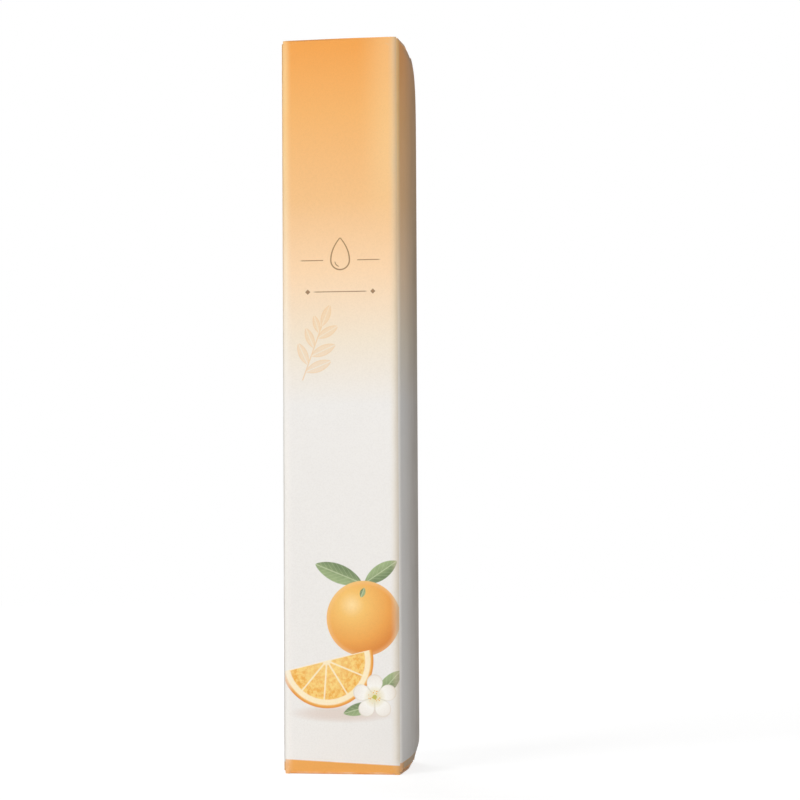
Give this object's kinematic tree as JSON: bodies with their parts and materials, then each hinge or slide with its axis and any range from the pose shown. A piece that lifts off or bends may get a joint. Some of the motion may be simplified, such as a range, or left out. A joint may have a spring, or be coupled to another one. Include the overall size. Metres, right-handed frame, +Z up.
{
  "type": "boxed nail oil pen",
  "caption": "Tall slim tuck-end paperboard carton with a twist-up brush pen for nail oil standing inside it.",
  "frame": {"origin": "middle of the carton's base, on the surface it stands on", "axes": "+Z up along the carton and the pen, -Y out of the printed front, +X to the right seen from the front"},
  "size_m": [0.0228, 0.0228, 0.1398],
  "materials": {
    "printed_board": "satin",
    "orange_board": "satin",
    "raw_board": "matte",
    "clear_plastic": "gloss",
    "label_film": "satin",
    "white_plastic": "gloss",
    "drive_plastic": "satin",
    "seal_rubber": "matte",
    "amber_oil": "gloss",
    "feed_steel": "satin",
    "brush_nylon": "satin"
  },
  "bodies": {
    "carton": {"front_panel": "printed_board", "right_panel": "printed_board", "back_panel": "printed_board", "left_panel": "printed_board", "glue_flap": "raw_board"},
    "top_lid": {"top_lid": "orange_board"},
    "top_tuck": {"top_tuck_flap": "orange_board"},
    "top_dust_right": {"top_dust_flap_right": "raw_board"},
    "top_dust_left": {"top_dust_flap_left": "raw_board"},
    "bottom_closure": {"bottom_closure": "orange_board"},
    "bottom_tuck": {"bottom_tuck_flap": "orange_board"},
    "bottom_dust_right": {"bottom_dust_flap_right": "raw_board"},
    "bottom_dust_left": {"bottom_dust_flap_left": "raw_board"},
    "pen": {"barrel": "clear_plastic", "barrel_label": "label_film", "click_ring": "drive_plastic", "thread_nut": "drive_plastic", "oil_fill": "amber_oil", "neck_plug": "white_plastic", "neck_ring": "seal_rubber", "brush_holder": "clear_plastic", "feed_tube": "feed_steel", "brush_bristles": "brush_nylon"},
    "cap": {"cap_shell": "white_plastic", "cap_liner": "drive_plastic"},
    "knob": {"twist_knob": "white_plastic"},
    "screw": {"lead_screw": "drive_plastic"},
    "piston": {"piston": "white_plastic", "piston_ring": "seal_rubber"}
  },
  "joints": [
    {"name": "pen_lift", "type": "slide", "parent": "carton", "child": "pen", "axis": [0, 0, 1], "range_m": [0, 0.054]},
    {"name": "top_lid_fold", "type": "hinge", "parent": "carton", "child": "top_lid", "pos_m": [0, 0.0114, 0.13979], "axis": [-1, 0, 0], "range_deg": [0, 210]},
    {"name": "top_tuck_fold", "type": "hinge", "parent": "top_lid", "child": "top_tuck", "pos_m": [0, -0.00985, 0.13939], "axis": [1, 0, 0], "range_deg": [0, 42]},
    {"name": "top_dust_right_fold", "type": "hinge", "parent": "carton", "child": "top_dust_right", "pos_m": [0.0114, 0, 0.13927], "axis": [0, 1, 0], "range_deg": [0, 168]},
    {"name": "top_dust_left_fold", "type": "hinge", "parent": "carton", "child": "top_dust_left", "pos_m": [-0.0114, 0, 0.13927], "axis": [0, -1, 0], "range_deg": [0, 168]},
    {"name": "cap_pull", "type": "slide", "parent": "pen", "child": "cap", "axis": [0, 0, 1], "range_m": [0, 0.027]},
    {"name": "bottom_closure_fold", "type": "hinge", "parent": "carton", "child": "bottom_closure", "pos_m": [0, -0.0114, 0], "axis": [-1, 0, 0], "range_deg": [0, 210]},
    {"name": "bottom_tuck_fold", "type": "hinge", "parent": "bottom_closure", "child": "bottom_tuck", "pos_m": [0, 0.00985, 0.0004], "axis": [1, 0, 0], "range_deg": [0, 42]},
    {"name": "bottom_dust_right_fold", "type": "hinge", "parent": "carton", "child": "bottom_dust_right", "pos_m": [0.0114, 0, 0.00052], "axis": [0, -1, 0], "range_deg": [0, 168]},
    {"name": "bottom_dust_left_fold", "type": "hinge", "parent": "carton", "child": "bottom_dust_left", "pos_m": [-0.0114, 0, 0.00052], "axis": [0, 1, 0], "range_deg": [0, 168]},
    {"name": "knob_turn", "type": "hinge", "parent": "pen", "child": "knob", "pos_m": [0, 0, 0], "axis": [0, 0, 1], "range_deg": [0, 3960]},
    {"name": "screw_climb", "type": "slide", "parent": "knob", "child": "screw", "axis": [0, 0, 1], "range_m": [0, 0.033]},
    {"name": "piston_climb", "type": "slide", "parent": "pen", "child": "piston", "axis": [0, 0, 1], "range_m": [0, 0.033], "deforming": ["oil_fill"]}
  ],
  "couplings": [
    {"joint": "top_lid_fold", "follows": "pen_lift", "rad_per_m": 67.873},
    {"joint": "top_tuck_fold", "follows": "pen_lift", "rad_per_m": 13.575},
    {"joint": "top_dust_right_fold", "follows": "pen_lift", "rad_per_m": 54.298},
    {"joint": "top_dust_left_fold", "follows": "pen_lift", "rad_per_m": 54.298},
    {"joint": "cap_pull", "follows": "pen_lift", "ratio": 0.5},
    {"joint": "bottom_tuck_fold", "follows": "bottom_closure_fold", "ratio": 0.2},
    {"joint": "bottom_dust_right_fold", "follows": "bottom_closure_fold", "ratio": 0.8},
    {"joint": "bottom_dust_left_fold", "follows": "bottom_closure_fold", "ratio": 0.8},
    {"joint": "knob_turn", "follows": "piston_climb", "rad_per_m": 2094.4},
    {"joint": "screw_climb", "follows": "piston_climb", "ratio": 1}
  ]
}
